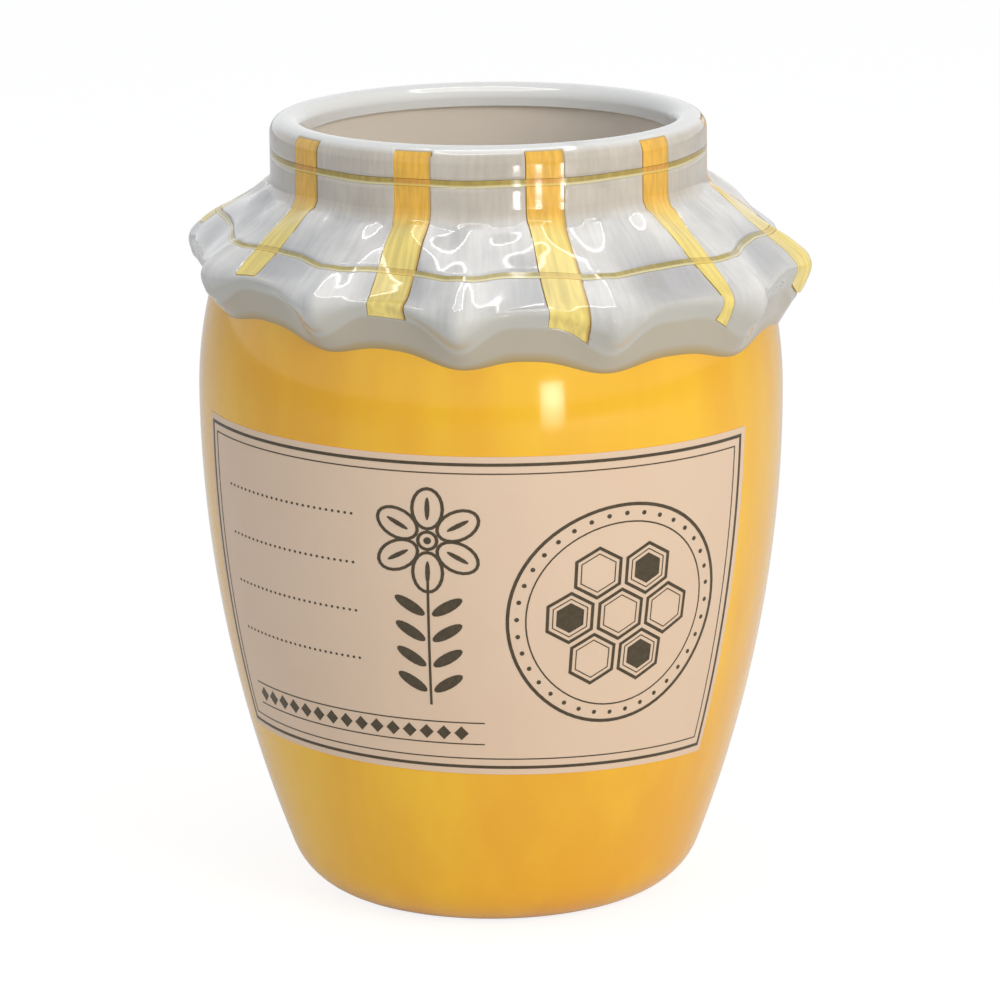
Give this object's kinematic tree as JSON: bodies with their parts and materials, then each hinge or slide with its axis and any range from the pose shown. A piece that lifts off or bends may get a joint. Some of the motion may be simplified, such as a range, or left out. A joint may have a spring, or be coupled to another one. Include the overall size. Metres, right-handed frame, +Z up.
{
  "type": "honey jar",
  "caption": "Open ceramic honey pot jar with a bulging body, a rolled lip, a gathered cloth-look collar with a check, and a label panel.",
  "frame": {"origin": "centre of the flat foot, on the table", "axes": "+Z up along the jar's axis; the label faces -Y; +X to the right of a viewer who faces the label"},
  "size_m": [0.1507, 0.1503, 0.19],
  "materials": {
    "honey_glaze": "glossy amber-yellow glaze on fired earthenware",
    "pale_glaze": "glossy pale grey-white glaze on fired earthenware",
    "ochre_glaze": "ochre-yellow underglaze stripe, glossy",
    "olive_glaze": "thin olive-yellow underglaze line, glossy",
    "label_cream": "cream fired transfer with dark brown rules, satin"
  },
  "bodies": {
    "root": {"jar_body": "honey_glaze", "cloth_cover": "pale_glaze", "check_band_01": "ochre_glaze", "check_band_02": "ochre_glaze", "check_band_03": "ochre_glaze", "check_band_04": "ochre_glaze", "check_band_05": "ochre_glaze", "check_band_06": "ochre_glaze", "check_band_07": "ochre_glaze", "check_band_08": "ochre_glaze", "check_band_09": "ochre_glaze", "check_band_10": "ochre_glaze", "check_line_neck": "olive_glaze", "check_line_frill": "olive_glaze", "label_transfer": "label_cream"}
  },
  "joints": []
}
